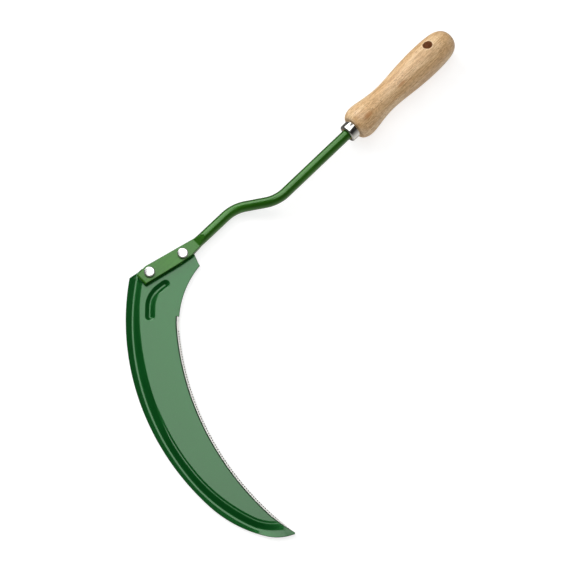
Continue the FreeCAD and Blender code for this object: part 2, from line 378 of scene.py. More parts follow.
def blade_stations():
    """Pairs of facing edge points from the tip to the head corner.

    Each is (outer point, inner point, bevel amount from 0 to 1, tooth notch from 0 to 1).
    """
    spine, head, cutting = blade_edges()
    teeth = round(cutting.length / TOOTH_PITCH)
    stations = []
    for index in range(4 * teeth - 2, 0, -1):
        part = index / (4 * teeth)
        outer = spine.point(SPINE_FACES + (spine.length - SPINE_FACES) * part)
        notch = (0.0, 0.5, 1.0, 0.5)[index % 4]
        inner = cutting.point(cutting.length * part)
        stations.append((outer, inner, 1.0, notch))

    legs = [(head.length, spine.point(SPINE_FACES)), (HEEL_FACES, spine.point(0))]
    legs += [(face, np.array(corner)) for face, corner in zip(HEAD_TOP_FACES, HEAD_TOP)]
    legs.append((0.0, np.array(HEAD_CORNER)))
    bevel_end = head.length - BEVEL_LEAD_IN
    for leg, ((from_face, from_point), (to_face, to_point)) in enumerate(zip(legs, legs[1:])):
        reach = max(from_face - to_face, np.hypot(*(to_point - from_point)))
        count = math.ceil(reach / STATION_STEP)
        for index in range(count):
            part = index / count
            if leg == 0:
                outer = spine.point(SPINE_FACES * (1 - part))
            else:
                outer = from_point + (to_point - from_point) * part
            face = from_face + (to_face - from_face) * part
            bevel = 1.0 if face > bevel_end else 0.0
            if bevel == 0.0 and stations[-1][2] == 1.0:
                stations.append((stations[-1][0] * 0.8 + outer * 0.2, head.point(face + 0.3), 0.0, 0))
            stations.append((outer, head.point(face), bevel, 0))
    from_face, from_point = legs[-2]
    outer = from_point + (legs[-1][1] - from_point) * LAST_STATION
    stations.append((outer, head.point(from_face * (1 - LAST_STATION)), 0.0, 0))
    return stations


def blade_depth(points):
    """How far the beads press the sheet down at plan points."""
    chain = Chain(SPINE_BEAD_START, SPINE_BEAD_HEADING, SPINE_BEAD_ARCS)
    distance, length = chain.measure(points, SPINE_BEAD_RUN_IN)
    lower = smooth((length - SPINE_BEAD_SHELF_START) / SPINE_BEAD_SHELF_GROWTH)
    widened = smooth(length / SPINE_BEAD_WIDENING)
    inner = SPINE_BEAD_INNER_HEEL + (SPINE_BEAD_INNER - SPINE_BEAD_INNER_HEEL) * widened
    inner_main = inner + (SPINE_BEAD_MAIN - inner) * lower
    step = inner + (SPINE_BEAD_STEP - inner) * lower
    outer_part = flank(distance, SPINE_BEAD_OUTER, *OUTER_ROUNDING)
    inner_part = flank(distance, inner_main, *INNER_ROUNDING)
    shelf = flank(distance - step, inner - step + 0.01, *SHELF_ROUNDING)
    shelf = np.where(distance < step, 1.0, shelf) * SPINE_BEAD_SHELF * lower
    inner_part = inner_part * (1 - SPINE_BEAD_SHELF * lower) + shelf
    pressed = np.where(distance < 0, outer_part, inner_part)
    fade_start, fade_end = SPINE_BEAD_FADE
    pressed = pressed * (1 - smooth((length - fade_start) / (fade_end - fade_start)))
    return SPINE_BEAD_DEPTH * pressed + hook_depth(points)


def hook_depth(points):
    """How far the hooked bead presses the sheet down: a straight arm, an arc and a straight stem."""
    arm_end = np.array(HOOK_START) + direction(HOOK_HEADING) * HOOK_ARM
    arc = Arc(arm_end, HOOK_HEADING, *HOOK_ARC)
    stem_start = arc.end()
    stem_end = stem_start + direction(HOOK_HEADING + HOOK_ARC[1]) * HOOK_STEM
    total = HOOK_ARM + arc.length + HOOK_STEM
    nearest = np.full(points.shape[:-1], np.inf)
    place = np.zeros(points.shape[:-1])
    for start, end, passed in (
        (np.array(HOOK_START), arm_end, 0.0),
        (stem_start, stem_end, HOOK_ARM + arc.length),
    ):
        leg = end - start
        reach = np.hypot(*leg)
        along = np.clip((points - start) @ leg / reach, 0, reach)
        gap = points - start - along[..., None] * leg / reach
        past = np.clip((points - start) @ leg / reach - reach, 0, None)
        gap = gap + past[..., None] * leg / reach * (HOOK_END_STEEPNESS - 1)
        distance = np.hypot(gap[..., 0], gap[..., 1])
        closer = distance < nearest
        nearest = np.where(closer, distance, nearest)
        place = np.where(closer, passed + along, place)
    offset = points - arc.centre
    turned = np.degrees(np.arctan2(offset[..., 1], offset[..., 0])) - arc.heading + 90
    turned = (turned + 180) % 360 - 180
    distance = np.abs(arc.radius - np.hypot(offset[..., 0], offset[..., 1]))
    closer = (turned >= 0) & (turned <= arc.turn) & (distance < nearest)
    nearest = np.where(closer, distance, nearest)
    place = np.where(closer, HOOK_ARM + np.radians(turned) * arc.radius, place)
    widening = HOOK_STEM_HALF_WIDTH - HOOK_ARM_HALF_WIDTH
    half_width = HOOK_ARM_HALF_WIDTH + widening * smooth(place / (0.7 * total))
    return HOOK_DEPTH * flank(nearest, half_width, *HOOK_ROUNDING)


def edge_rows(top, bottom, inward, rounded):
    """Points down a sheet's edge between a top and a bottom point, rounded or plain."""
    rows = []
    for place, pull in ((0.08, 0.75), (0.3, 1.0), (0.7, 1.0), (0.92, 0.75)):
        point = top + (bottom - top) * place
        point[:, :2] -= inward * (EDGE_ROUND * pull * rounded)[:, None]
        rows.append(point)
    return rows


def inward_normals(edge, other):
    """Unit plan normals of a polyline of edge points, on the side of the other edge."""
    tangent = np.gradient(edge, axis=0)
    tangent /= np.hypot(tangent[:, 0], tangent[:, 1])[:, None]
    normal = np.stack([-tangent[:, 1], tangent[:, 0]], axis=1)
    side = np.sign(np.sum(normal * (other - edge), axis=1))
    return normal * side[:, None]


def blade_plan(outer, inner, outer_in, inner_in, band, bevel, notch):
    """Plan points across the blade at every station, from the spine to the edge."""
    width = np.hypot(*(inner - outer).T)
    shrink = np.minimum(EDGE_ROUND, 0.1 * width)
    start = outer + outer_in * shrink[:, None]
    finish = inner + inner_in * (shrink * (1 - bevel) + TOOTH_DEPTH * notch)[:, None]
    border = inner + inner_in * band[:, None]
    lip = border + inner_in * np.minimum(PAINT_LIP, LIP_SHARE * width)[:, None]
    rows = []
    for index in range(BLADE_ROWS - 1):
        rows.append(start + (lip - start) * index / (BLADE_ROWS - 2))
    rows.append(border)
    for index in range(1, BEVEL_ROWS + 1):
        part = index / BEVEL_ROWS
        pull = inner_in * (TOOTH_DEPTH * notch * (part ** 3 - part))[:, None]
        rows.append(border + (finish - border) * part + pull)
    return np.stack(rows, axis=1)


def grind(top, band, bevel, notch):
    """Lower the top points on the paint's lip, the bevel and the grooves between the teeth."""
    slope = (SHEET_THICKNESS - EDGE_LAND - PAINT_LIP_DROP) / BEVEL_WIDTH
    top[:, BLADE_ROWS - 1, 2] -= PAINT_LIP_DROP * bevel
    for index in range(1, BEVEL_ROWS + 1):
        part = index / BEVEL_ROWS
        reach = band * part - TOOTH_DEPTH * notch * part ** 3
        drop = PAINT_LIP_DROP + slope * reach + TOOTH_GROOVE * notch * part ** 2
        top[:, BLADE_ROWS - 1 + index, 2] -= drop * bevel


def blade_face_materials(bevel, notch, across, count):
    """The material of each face round the blade, from one station to the next."""
    materials = []
    for ring in range(len(bevel) - 1):
        ground = bevel[ring] > 0 and bevel[ring + 1] > 0
        cut = max(notch[ring], notch[ring + 1]) > 0.9
        for index in range(count):
            material = PAINTED
            # The lip faces take the very dark paint: painted shade along the paint's edge by the bevel
            if ground and index == BLADE_ROWS - 2:
                material = LIP
            elif ground and BLADE_ROWS - 2 < index < across + 4:
                # Faces by the notches take the dark gullet colour: painted shade in the notches
                material = GULLET if cut and index >= across - 4 else GROUND
            materials.append(material)
    return materials


def blade_end_faces(across, count, last):
    """Faces that close the blade at its first station and at its last."""
    faces = []
    for base in (0, last):
        for index in range(across - 1):
            below = 2 * across + 3 - index
            faces.append((base + index, base + index + 1, base + below - 1, base + below))
        faces.append(tuple(base + index for index in range(across - 1, across + 5)))
        faces.append(tuple(base + index for index in (*range(2 * across + 3, count), 0)))
    return faces


def blade(paint, steel, gullet, shaded_paint_edge):
    columns = zip(*blade_stations())
    outer, inner, bevel, notch = [np.array(column, dtype=float) for column in columns]
    outer_in = inward_normals(outer, inner)
    inner_in = inward_normals(inner, outer)
    band = np.minimum(BEVEL_WIDTH, BEVEL_SHARE * np.hypot(*(inner - outer).T))
    plan = blade_plan(outer, inner, outer_in, inner_in, band, bevel, notch)

    depth = blade_depth(plan)
    top = np.concatenate([plan, (SHEET_TOP - depth)[..., None]], axis=2)
    bottom = np.concatenate([plan, (SHEET_UNDERSIDE - depth)[..., None]], axis=2)
    grind(top, band, bevel, notch)

    across = top.shape[1]
    loops = [top[:, index] for index in range(across)]
    loops += edge_rows(top[:, -1], bottom[:, -1], inner_in, 1 - bevel)
    loops += [bottom[:, index] for index in range(across - 1, -1, -1)]
    loops += edge_rows(top[:, 0], bottom[:, 0], outer_in, np.ones(len(outer)))[::-1]
    rings = np.stack(loops, axis=1)
    count = rings.shape[1]
    faces = ring_faces(len(rings), count, closed_ends=False)
    face_materials = blade_face_materials(bevel, notch, across, count)
    ends = blade_end_faces(across, count, (len(rings) - 1) * count)
    make_piece(
        "blade_sheet",
        "blade",
        rings.reshape(-1, 3),
        faces + ends,
        [paint, steel, gullet, shaded_paint_edge],
        face_materials + [PAINTED] * len(ends),
        sharp=32.0,
    )


# Bar with its tab


def side_height(side, x):
    return float(np.interp(x, *zip(*side)))


def flat_section(low, high, half_height, flatness, corner):
    """Section of the tab or of the bar's pared end, as (across, up) about its middle.

    flatness 0 gives the bar's circle cut by two flats, and 1 gives a straight-sided tab.
    Both have a rounded crease between the flat and the side.
    """
    middle = (low + high) / 2
    half = (high - low) / 2
    cut = math.sqrt(max(BAR_RADIUS ** 2 - half_height ** 2, 0.0))
    crease = min(corner, cut)
    cut_angle = math.atan2(half_height, cut)
    side_angle = cut_angle - crease / BAR_RADIUS
    bar_flat = np.array([cut - crease, half_height])
    bar_side = BAR_RADIUS * np.array([math.cos(side_angle), math.sin(side_angle)])
    bar_corner = np.array([cut, half_height])
    quarter = []
    for index in range(8):
        bar = bar_flat * [index / 8, 1]
        tab = np.array([(half - corner) * index / 8, half_height])
        quarter.append(bar + (tab - bar) * flatness)
    for index in range(5):
        part = index / 4
        bar = bar_flat * (1 - part) ** 2 + bar_corner * 2 * part * (1 - part) + bar_side * part ** 2
        turn = math.pi / 2 * (1 - part)
        round_corner = np.array([math.cos(turn), math.sin(turn)]) * corner
        tab = np.array([half - corner, half_height - corner]) + round_corner
        quarter.append(bar + (tab - bar) * flatness)
    for index in range(1, 8):
        part = index / 7
        angle = side_angle * (1 - part)
        bar = BAR_RADIUS * np.array([math.cos(angle), math.sin(angle)])
        tab = np.array([half, (half_height - corner) * (1 - part)])
        quarter.append(bar + (tab - bar) * flatness)
    upper_right = [tuple(point) for point in quarter]
    lower_right = [(y, -z) for y, z in reversed(upper_right[1:-1])]
    lower_right.append((0.0, -upper_right[0][1]))
    right = upper_right + lower_right
    left = [(-y, z) for y, z in reversed(right[1:-1])]
    return [(middle + y, z) for y, z in right + left]


def neck_path():
    """Points and directions of the bar's centreline from the pared end to its hidden end."""
    corners = [
        np.array([FLAT_START, NECK_LOWER_BEND[1], TAB_MIDDLE]),
        np.array([*NECK_LOWER_BEND, TAB_MIDDLE]),
        np.array([*NECK_UPPER_BEND, AXIS_HEIGHT]),
        np.array([BAR_END, 0.0, AXIS_HEIGHT]),
    ]
    path = []
    leg_start = corners[0]
    for before, corner, after in zip(corners, corners[1:], corners[2:]):
        inward = (before - corner) / np.linalg.norm(before - corner)
        outward = (after - corner) / np.linalg.norm(after - corner)
        turn = math.pi - math.acos(float(inward @ outward))
        tangent = NECK_BEND_RADIUS * math.tan(turn / 2)
        arc_start = corner + inward * tangent
        side = outward - outward.dot(-inward) * -inward
        side /= np.linalg.norm(side)
        straight = int(np.linalg.norm(arc_start - leg_start) / 2.5)
        for index in range(straight):
            path.append((leg_start + (arc_start - leg_start) * index / straight, -inward))
        steps = 16
        for index in range(steps):
            angle = turn * index / steps
            point = arc_start - inward * NECK_BEND_RADIUS * math.sin(angle)
            point = point + side * NECK_BEND_RADIUS * (1 - math.cos(angle))
            path.append((point, -inward * math.cos(angle) + side * math.sin(angle)))
        leg_start = corner + outward * tangent
    last = corners[-1] - leg_start
    ahead = last / np.linalg.norm(last)
    straight = 36
    for index in range(straight + 1):
        path.append((leg_start + last * index / straight, ahead))
    return path


def tang_rod(paint):
    rings = []
    places = [TAB_END, TAB_END + 0.12, TAB_END + TAB_EDGE_ROUND]
    places += list(np.linspace(TAB_END + 2, TAB_START - 1, 30))
    places += list(np.linspace(TAB_START, FLAT_START, 14))[:-1]
    for x in places:
        squeeze = 0.0
        if x < TAB_END + TAB_EDGE_ROUND:
            gone = 1 - (x - TAB_END) / TAB_EDGE_ROUND
            squeeze = TAB_EDGE_ROUND * (1 - math.sqrt(max(1 - gone * gone, 0.0)))
        low = side_height(TAB_LOWER_SIDE, x) + squeeze
        high = side_height(TAB_UPPER_SIDE, x) - squeeze
        part = float(np.clip((x - TAB_START) / (FLAT_START - TAB_START), 0, 1))
        half_height = TAB_THICKNESS / 2 + (BAR_RADIUS - TAB_THICKNESS / 2) * part - squeeze
        flatness = 1 - float(smooth((x - TAB_START + 1) / 4))
        section = flat_section(low, high, half_height, flatness, TAB_EDGE_ROUND)
        rings.append([(x, y, TAB_MIDDLE + z) for y, z in section])
    count = len(rings[0])

    circle = flat_section(-BAR_RADIUS, BAR_RADIUS, BAR_RADIUS, 0.0, TAB_EDGE_ROUND)
    for point, ahead in neck_path():
        side = np.cross(np.array([0.0, 0.0, 1.0]), ahead)
        side /= np.linalg.norm(side)
        up = np.cross(ahead, side)
        rings.append([tuple(point + side * y + up * z) for y, z in circle])
    faces = ring_faces(len(rings), count)
    points = np.array(rings).reshape(-1, 3)
    make_piece("swan_neck_bar", "tang_rod", points, faces, [paint], sharp=30.0)


# Rivets


def back_dome():
    """The upset back of a rivet as (down, radius): the cap of a sphere."""
    ball = (RIVET_BACK_RADIUS ** 2 + SHEET_UNDERSIDE ** 2) / (2 * SHEET_UNDERSIDE)
    widest = math.asin(RIVET_BACK_RADIUS / ball)
    profile = []
    for index in range(11):
        angle = widest * index / 11
        down = SHEET_UNDERSIDE - ball + ball * math.cos(angle)
        profile.append((max(down, 0.0), ball * math.sin(angle)))
    return profile + [(0.0, RIVET_BACK_RADIUS)]


def rivet(node, metal):
    """A flat-topped head with a rounded rim and a slight crown, a shank and an upset back."""
    x, y = RIVET_CENTRES[node]
    profile = [(SHEET_UNDERSIDE - down, radius) for down, radius in back_dome()]
    profile += [(SHEET_UNDERSIDE, RIVET_SHANK_RADIUS), (TAB_TOP, RIVET_SHANK_RADIUS)]
    profile += [(TAB_TOP, RIVET_HEAD_RADIUS - 0.1), (TAB_TOP + 0.1, RIVET_HEAD_RADIUS)]
    shoulder = RIVET_HEAD_HEIGHT - RIVET_HEAD_CROWN - RIVET_HEAD_ROUND
    for degrees in range(0, 91, 10):
        angle = math.radians(degrees)
        profile.append((
            TAB_TOP + shoulder + RIVET_HEAD_ROUND * math.sin(angle),
            RIVET_HEAD_RADIUS - RIVET_HEAD_ROUND * (1 - math.cos(angle)),
        ))
    flat = RIVET_HEAD_RADIUS - RIVET_HEAD_ROUND
    for index in range(1, 6):
        part = index / 6
        rise = RIVET_HEAD_CROWN * (1 - (1 - part) ** 2)
        profile.append((TAB_TOP + shoulder + RIVET_HEAD_ROUND + rise, flat * (1 - part)))
    profile.append((TAB_TOP + RIVET_HEAD_HEIGHT, 0.0))
    points, faces = lathe(profile, 48)
    upright = np.stack([points[:, 1] + x, points[:, 2] + y, points[:, 0]], axis=1)
    make_piece(node + "_head", node, upright, faces, [metal], sharp=38.0)


# Ferrule


def ferrule(metal):
    """Drawn cap with a rounded front and a rolled lip round its opening."""
    profile = []
    for degrees in range(0, 91, 15):
        angle = math.radians(degrees)
        profile.append((
            FERRULE_FRONT + 0.25 + FERRULE_FRONT_ROUND * (1 - math.cos(angle)),
            FERRULE_RADIUS - FERRULE_FRONT_ROUND * (1 - math.sin(angle)),
        ))
    profile += [
        (4.2, FERRULE_RADIUS),
        (8.2, FERRULE_RADIUS),
        (8.65, FERRULE_RADIUS - 0.05),
        (FERRULE_BACK, FERRULE_RADIUS - 0.25),
        (FERRULE_BACK, FERRULE_BORE),
        (0.9, FERRULE_BORE),
        (0.85, FERRULE_LIP + 0.2),
    ]
    for degrees in range(-60, 181, 30):
        angle = math.radians(degrees)
        profile.append((
            FERRULE_FRONT + FERRULE_LIP_ROUND * (1 - math.sin(angle)),
            FERRULE_LIP + FERRULE_LIP_ROUND * (1 - math.cos(angle)),
        ))
    points, faces = lathe(profile, 96)
    points[:, 2] += AXIS_HEIGHT
    make_piece("ferrule_cap", "ferrule", points, faces, [metal], sharp=50.0)


# Handle


def spline_radii():
    """Many (x, radius) pairs on a smooth curve through the handle's profile points."""
    knots = np.array(HANDLE_PROFILE)
    chord = np.concatenate([[0.0], np.cumsum(np.hypot(*np.diff(knots, axis=0).T))])
    count = len(knots)
    step = np.diff(chord)
    system = np.zeros((count, count))
    system[0, 0] = 1.0
    system[-1, -1] = 1.0
    for row in range(1, count - 1):
        system[row, row - 1] = step[row - 1]
        system[row, row] = 2 * (step[row - 1] + step[row])
        system[row, row + 1] = step[row]
    samples = np.linspace(0, chord[-1], CURVE_SAMPLES)
    spans = np.clip(np.searchsorted(chord, samples, side="right") - 1, 0, count - 2)
    curve = []
    for axis in (0, 1):
        values = knots[:, axis]
        right = np.zeros(count)
        for row in range(1, count - 1):
            rise = (values[row + 1] - values[row]) / step[row]
            run = (values[row] - values[row - 1]) / step[row - 1]
            right[row] = 6 * (rise - run)
        bend = np.linalg.solve(system, right)
        length = step[spans]
        ahead = (chord[spans + 1] - samples) / length
        behind = 1 - ahead
        line = ahead * values[spans] + behind * values[spans + 1]
        pull = (ahead ** 3 - ahead) * bend[spans] + (behind ** 3 - behind) * bend[spans + 1]
        curve.append(line + pull * length ** 2 / 6)
    return np.stack(curve, axis=1)


def skin_radius(curve, x):
    """The handle's radius at x, short of the butt's tip."""
    return float(np.interp(x, curve[:CURVE_RISING, 0], curve[:CURVE_RISING, 1]))


def handle_profile(curve):
    """The turned outline from spigot to butt, and the ring where the hole's window starts."""
    step = HOLE_WINDOW_LENGTH / (2 * HOLE_WINDOW_STEPS)
    window = [HOLE_X + step * index for index in range(-HOLE_WINDOW_STEPS, HOLE_WINDOW_STEPS + 1)]
    stations = list(np.linspace(10.2, window[0], 70))[:-1] + window
    stations += list(np.linspace(window[-1], HANDLE_ROUND_END, 12))[1:]
    body = [(x, skin_radius(curve, x)) for x in stations]
    spigot = FERRULE_BORE - 0.2
    front = [(SPIGOT_FRONT, 0.0), (SPIGOT_FRONT, spigot), (8.9, spigot), (9.0, 8.9), (8.95, 10.6)]
    shoulder = [tuple(point) for point in curve if 8.85 < point[0] < 10.1][::6]
    end = [tuple(point) for point in curve if point[0] > HANDLE_ROUND_END + 0.6 and point[1] > 0.6]
    profile = front + shoulder + body + end[::9] + [(HANDLE_PROFILE[-1][0], 0.0)]
    return profile, len(front) + len(shoulder) - 1 + stations.index(window[0])


def window_boundary(first, centre):
    """Indexes of the points round one of the two windows left in the skin for the hole."""
    span = 2 * HOLE_WINDOW_STEPS
    boundary = []
    for index in range(-HOLE_WINDOW_STEPS, HOLE_WINDOW_STEPS):
        boundary.append((first, centre + index))
    for index in range(span):
        boundary.append((first + index, centre + HOLE_WINDOW_STEPS))
    for index in range(HOLE_WINDOW_STEPS, -HOLE_WINDOW_STEPS, -1):
        boundary.append((first + span, centre + index))
    for index in range(span, 0, -1):
        boundary.append((first + index, centre - HOLE_WINDOW_STEPS))
    return [row * HANDLE_SEGMENTS + column % HANDLE_SEGMENTS for row, column in boundary]


def hole_levels(reach):
    """Rings from a window's edge to the hole and down it, as (radii, depth, material)."""
    count = len(reach)
    outer_radius = HOLE_RADIUS + HOLE_RIM
    levels = []
    for part in (0.25, 0.5, 0.72, 0.88, 1.0):
        levels.append((reach + (outer_radius - reach) * part, 0.0, 0))
    for degrees in (22.5, 45, 67.5, 90):
        angle = math.radians(degrees)
        radii = np.full(count, outer_radius - HOLE_RIM * math.sin(angle))
        levels.append((radii, HOLE_RIM * (1 - math.cos(angle)), 0))
    for depth in (2.0, 4.0, 7.0, 10.5):
        levels.append((np.full(count, HOLE_RADIUS), depth, 1))
    return levels


def sink_hole(points, faces, face_materials, curve, ring, sign):
    """Fill one window with skin, rim and wall, and return the wall's last ring."""
    flat = np.array([(points[index][0] - HOLE_X, points[index][1]) for index in ring])
    reach = np.hypot(flat[:, 0], flat[:, 1])
    unit = flat / reach[:, None]
    for radii, depth, material in hole_levels(reach):
        fresh = []
        for spot in range(len(ring)):
            dx, dy = unit[spot] * radii[spot]
            height = math.sqrt(skin_radius(curve, HOLE_X + dx) ** 2 - dy ** 2) - depth
            fresh.append(len(points))
            points.append((HOLE_X + dx, dy, sign * height))
        join_rings(faces, ring, fresh)
        face_materials += [material] * len(ring)
        ring = fresh
    return ring


def join_rings(faces, near, far):
    for spot in range(len(near)):
        after = (spot + 1) % len(near)
        faces.append((near[spot], near[after], far[after], far[spot]))


def handle(wood, dark):
    curve = spline_radii()
    profile, first = handle_profile(curve)
    points = []
    rings = profile[1:-1]
    for x, radius in rings:
        for index in range(HANDLE_SEGMENTS):
            angle = 2 * math.pi * index / HANDLE_SEGMENTS
            points.append((x, radius * math.sin(angle), radius * math.cos(angle)))
    faces = []
    span = 2 * HOLE_WINDOW_STEPS
    half = HANDLE_SEGMENTS // 2
    for ring in range(len(rings) - 1):
        for index in range(HANDLE_SEGMENTS):
            around = (index + HOLE_WINDOW_STEPS) % half
            if first <= ring < first + span and around < span:
                continue
            after = (index + 1) % HANDLE_SEGMENTS
            base = ring * HANDLE_SEGMENTS
            upper = base + HANDLE_SEGMENTS
            faces.append((base + index, base + after, upper + after, upper + index))
    for base, x in ((0, profile[0][0]), ((len(rings) - 1) * HANDLE_SEGMENTS, profile[-1][0])):
        pole = len(points)
        points.append((x, 0.0, 0.0))
        for index in range(HANDLE_SEGMENTS):
            faces.append((base + index, base + (index + 1) % HANDLE_SEGMENTS, pole))
    face_materials = [0] * len(faces)

    tubes = []
    for centre, sign in ((0, 1.0), (half, -1.0)):
        edge = window_boundary(first, centre)
        tubes.append(sink_hole(points, faces, face_materials, curve, edge, sign))
    join_rings(faces, tubes[0], match_ring(points, *tubes))
    face_materials += [1] * len(tubes[0])

    points = np.array(points)
    tilt = math.radians(HOLE_TILT)
    y = points[:, 1] * math.cos(tilt) + points[:, 2] * math.sin(tilt)
    z = points[:, 2] * math.cos(tilt) - points[:, 1] * math.sin(tilt)
    turned = np.stack([points[:, 0], y, z + AXIS_HEIGHT], axis=1)
    make_piece("turned_grip", "handle", turned, faces, [wood, dark], face_materials, 45.0)


def match_ring(points, upper, lower):
    """The lower ring's points in the order that faces the upper ring's."""
    matched = []
    for index in upper:
        x, y, z = points[index]
        gaps = [(points[other][0] - x) ** 2 + (points[other][1] - y) ** 2 for other in lower]
        matched.append(lower[gaps.index(min(gaps))])
    return matched


# Materials


class Nodes:
    """Short names for building a node tree."""

    def __init__(self, tree):
        self.tree = tree

    def add(self, kind, **settings):
        node = self.tree.nodes.new(kind)
        for key, value in settings.items():
            setattr(node, key, value)
        return node

    def fill(self, node, **values):
        """Set constants on a node's sockets, whose names have _ for each space."""
        for key, value in values.items():
            node.inputs[key.replace("_", " ")].default_value = value

    def link(self, source, target):
        self.tree.links.new(source, target)

    def vector(self, operation, first, second=(0, 0, 0), output="Vector"):
        node = self.add("ShaderNodeVectorMath", operation=operation)
        self.link(first, node.inputs[0])
        node.inputs[1].default_value = second
        return node.outputs[output]

    def spread(self, value, low, high, to_low=0.0, to_high=1.0):
        node = self.add("ShaderNodeMapRange")
        self.fill(node, From_Min=low, From_Max=high, To_Min=to_low, To_Max=to_high)
        self.link(value, node.inputs["Value"])
        return node.outputs["Result"]

    def math(self, operation, first, second):
        node = self.add("ShaderNodeMath", operation=operation)
        for socket, value in zip(node.inputs, (first, second)):
            if isinstance(value, (int, float)):
                socket.default_value = value
            else:
                self.link(value, socket)
        return node.outputs[0]

    def mix(self, factor, first, second):
        node = self.add("ShaderNodeMix", data_type="RGBA")
        for socket, value in ((0, factor), (6, first), (7, second)):
            if isinstance(value, (int, float)):
                node.inputs[socket].default_value = value
            elif isinstance(value, tuple):
                node.inputs[socket].default_value = (*value, 1.0)
            else:
                self.link(value, node.inputs[socket])
        return node.outputs[2]


class Surface(Nodes):
    """The nodes of one material."""

    def __init__(self, name):
        self.material = bpy.data.materials.new(name)
        self.material.use_nodes = True
        super().__init__(self.material.node_tree)
        self.shader = self.tree.nodes["Principled BSDF"]
        self.place = self.add("ShaderNodeTexCoord").outputs["Object"]

    def mapped(self, scale, location=(0, 0, 0), rotation=(0, 0, 0)):
        node = self.add("ShaderNodeMapping")
        self.fill(node, Location=location, Rotation=rotation, Scale=scale)
        self.link(self.place, node.inputs["Vector"])
        return node.outputs["Vector"]

    def noise(self, vector, scale, detail=3.0, rough=0.5, distortion=0.0):
        node = self.add("ShaderNodeTexNoise")
        self.fill(node, Scale=scale, Detail=detail, Roughness=rough, Distortion=distortion)
        self.link(vector, node.inputs["Vector"])
        return node.outputs["Fac"]

    def follow(self, pattern, first, second, rough):
        """Colour and roughness that both follow one pattern."""
        self.link(self.mix(self.spread(pattern, 0.3, 0.7), first, second), self.shader.inputs["Base Color"])
        self.link(self.spread(pattern, *rough), self.shader.inputs["Roughness"])

    def bump(self, height, strength, distance):
        node = self.add("ShaderNodeBump")
        self.fill(node, Strength=strength, Distance=distance)
        self.link(height, node.inputs["Height"])
        self.link(node.outputs["Normal"], self.shader.inputs["Normal"])

    def set(self, **values):
        self.fill(self.shader, **values)


def gloss_paint(name, deep, light, streak, metallic, coat_index):
    """Gloss enamel over metal: slight orange peel, pooled colour and fine wear."""
    n = Surface(name)
    broad = n.noise(n.place, 28.0, 4.0)
    fine = n.noise(n.place, 900.0, 2.0)
    shade = n.spread(broad, 0.3, 0.7)
    colour = n.mix(shade, deep, light)
    drawn = n.noise(n.mapped((30, 1100, 300), rotation=(0, 0, 0.25)), 1.0, 3.0)
    colour = n.mix(n.math("MULTIPLY", n.spread(drawn, 0.45, 0.7), streak), colour, deep)
    speck = n.spread(n.noise(n.place, 2600.0, 1.0), 0.71, 0.76)
    colour = n.mix(n.math("MULTIPLY", speck, 0.35), colour, (0.10, 0.16, 0.09))
    n.link(colour, n.shader.inputs["Base Color"])
    scratch = n.noise(n.mapped((60, 1800, 400), rotation=(0, 0, 0.9)), 1.0, 2.0)
    worn = n.spread(scratch, 0.62, 0.75)
    rough = n.math("ADD", n.math("MULTIPLY", worn, 0.10), n.spread(broad, 0.2, 0.8, 0.30, 0.36))
    n.link(rough, n.shader.inputs["Roughness"])
    peel = n.math("ADD", n.math("MULTIPLY", fine, 0.35), n.noise(n.place, 230.0, 2.0))
    n.bump(peel, 0.05, 0.0004)
    n.set(Metallic=metallic, Coat_Weight=1.0, Coat_Roughness=0.05, Coat_IOR=coat_index)
    return n.material


def ground_steel():
    """Bare edge ground across its length, with a yellowish cast; its near-white colour on a barely metallic
    surface is a painted reflection of the bevel's bright shine.
    """
    n = Surface("ground_steel")
    lines = n.noise(n.mapped((2600, 300, 300), rotation=(0, 0, 0.6)), 1.0, 3.0)
    # Near-white diffuse colour: painted reflection standing in for the bright shine of the ground steel
    n.follow(lines, (0.88, 0.87, 0.83), (0.98, 0.97, 0.94), (0.2, 0.8, 0.35, 0.5))
    n.bump(lines, 0.15, 0.0002)
    n.set(Metallic=0.12)
    return n.material


def shaded_tooth_gullets():
    """The cut notches between the teeth, painted dark as the shade that falls in them."""
    n = Surface("shaded_tooth_gullets")
    gullet_mottle = n.noise(n.place, 1500.0, 3.0)
    n.follow(gullet_mottle, (0.02, 0.015, 0.012), (0.07, 0.055, 0.045), (0.3, 0.7, 0.5, 0.7))
    n.bump(gullet_mottle, 0.2, 0.0002)
    n.set(Metallic=0.1)
    return n.material


def plated_steel():
    """Bright plate with faint polishing lines and a little handling haze."""
    n = Surface("plated_steel")
    haze = n.noise(n.place, 130.0, 4.0)
    lines = n.noise(n.mapped((2400, 260, 260)), 1.0, 2.0)
    n.follow(haze, (0.86, 0.85, 0.82), (0.95, 0.95, 0.94), (0.25, 0.75, 0.12, 0.2))
    n.bump(lines, 0.04, 0.0001)
    n.set(Metallic=1.0)
    return n.material


def rivet_metal():
    n = Surface("rivet_metal")
    haze = n.noise(n.place, 420.0, 4.0)
    n.follow(haze, (0.84, 0.84, 0.82), (0.95, 0.95, 0.94), (0.25, 0.75, 0.14, 0.24))
    n.bump(haze, 0.05, 0.0002)
    n.set(Metallic=0.9)
    return n.material


